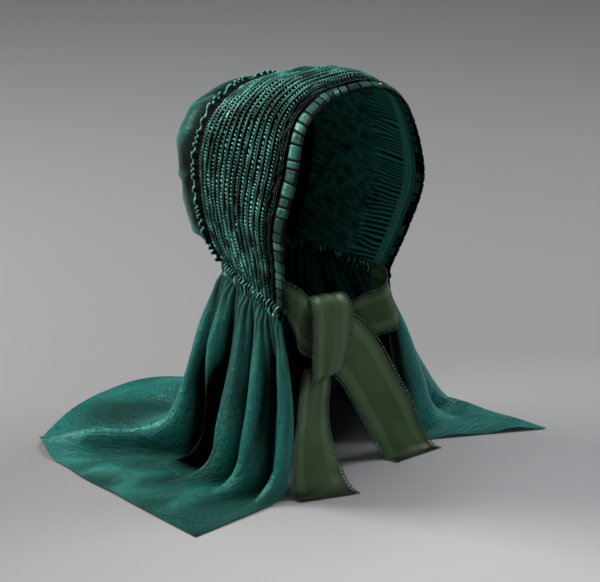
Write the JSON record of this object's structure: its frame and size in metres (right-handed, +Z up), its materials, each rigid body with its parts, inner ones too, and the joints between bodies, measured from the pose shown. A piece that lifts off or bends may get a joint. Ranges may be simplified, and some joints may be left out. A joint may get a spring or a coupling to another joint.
{
  "type": "poke bonnet",
  "caption": "Drawn silk poke bonnet with a ribbed hood, a puffed crown and a long neck cape, worn on the head and closed under the chin by wide ribbon ties.",
  "frame": {"origin": "the middle of the lining's underside at the top of the hood, where the top of the head sits", "axes": "+Z up, the wearer faces -Y, the wearer's left is +X"},
  "size_m": [0.43, 0.4083, 0.4231],
  "materials": {
    "hood_silk": "shirred silk taffeta",
    "crown_silk": "plain silk taffeta",
    "cape_silk": "slubbed silk taffeta",
    "lining_silk": "plain silk",
    "tie_ribbon": "satin-striped ribbon with a looped edge",
    "pin_brass": "polished"
  },
  "bodies": {
    "root": {"hood": "hood_silk", "hood_lining": "lining_silk", "front_band": "hood_silk", "crown": "crown_silk", "crown_frill": "hood_silk", "neck_ruching": "hood_silk", "cape": "cape_silk", "right_tie": "tie_ribbon", "left_tie": "tie_ribbon", "pin_top": "pin_brass", "pin_side": "pin_brass", "pin_corner": "pin_brass"}
  },
  "joints": []
}
